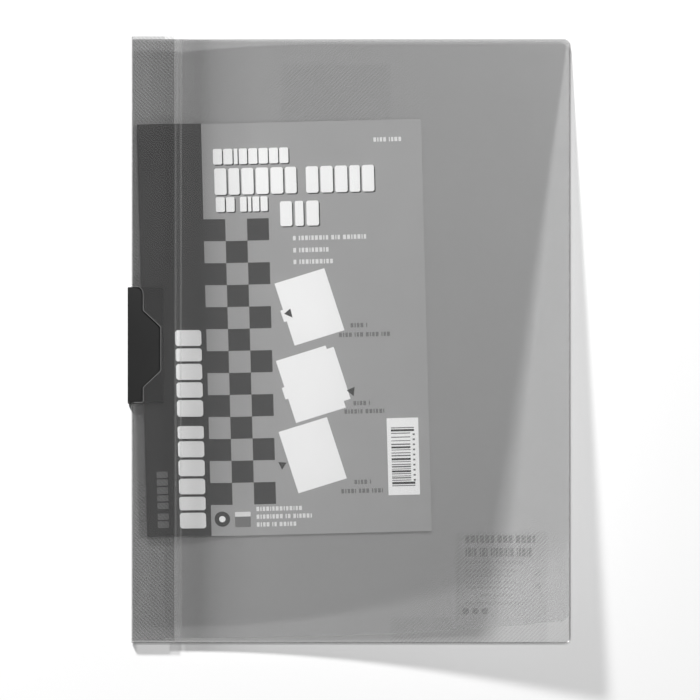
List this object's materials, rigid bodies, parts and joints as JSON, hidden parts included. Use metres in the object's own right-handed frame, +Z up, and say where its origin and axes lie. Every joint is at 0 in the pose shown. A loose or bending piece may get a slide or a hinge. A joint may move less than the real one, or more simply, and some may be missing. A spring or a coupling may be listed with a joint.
{
  "type": "clip report folder",
  "caption": "A4 report folder of translucent grey film with a folded spine strip, a pull-out black clip and a printed card held inside.",
  "frame": {"origin": "centre of the bounding box at its lowest height, on the surface that the folder lies on", "axes": "+Y up the page, +X from the folded spine to the open side, +Z up through the front cover"},
  "size_m": [0.222, 0.31, 0.0376],
  "materials": {
    "ribbed_film": "translucent smoke-grey polypropylene embossed with fine diagonal ribs",
    "smooth_film": "translucent smoke-grey polypropylene, smooth and slightly frosted",
    "clip_plastic": "matte black moulded plastic",
    "printed_card": "smooth coated card printed in greys, black and white",
    "label_film": "thin pale adhesive label"
  },
  "bodies": {
    "back": {"back_sheet": "ribbed_film", "front_margin": "smooth_film", "insert_card": "printed_card", "back_label": "label_film"},
    "cover": {"front_cover": "smooth_film"},
    "clip": {"clip": "clip_plastic"}
  },
  "joints": [
    {"name": "cover_hinge", "type": "hinge", "parent": "back", "child": "cover", "pos_m": [-0.08485, 0, 0.0067], "axis": [0, -1, 0], "range_deg": [0, 170]},
    {"name": "clip_slide", "type": "slide", "parent": "back", "child": "clip", "axis": [-1, 0, 0], "range_m": [0, 0.011]}
  ]
}
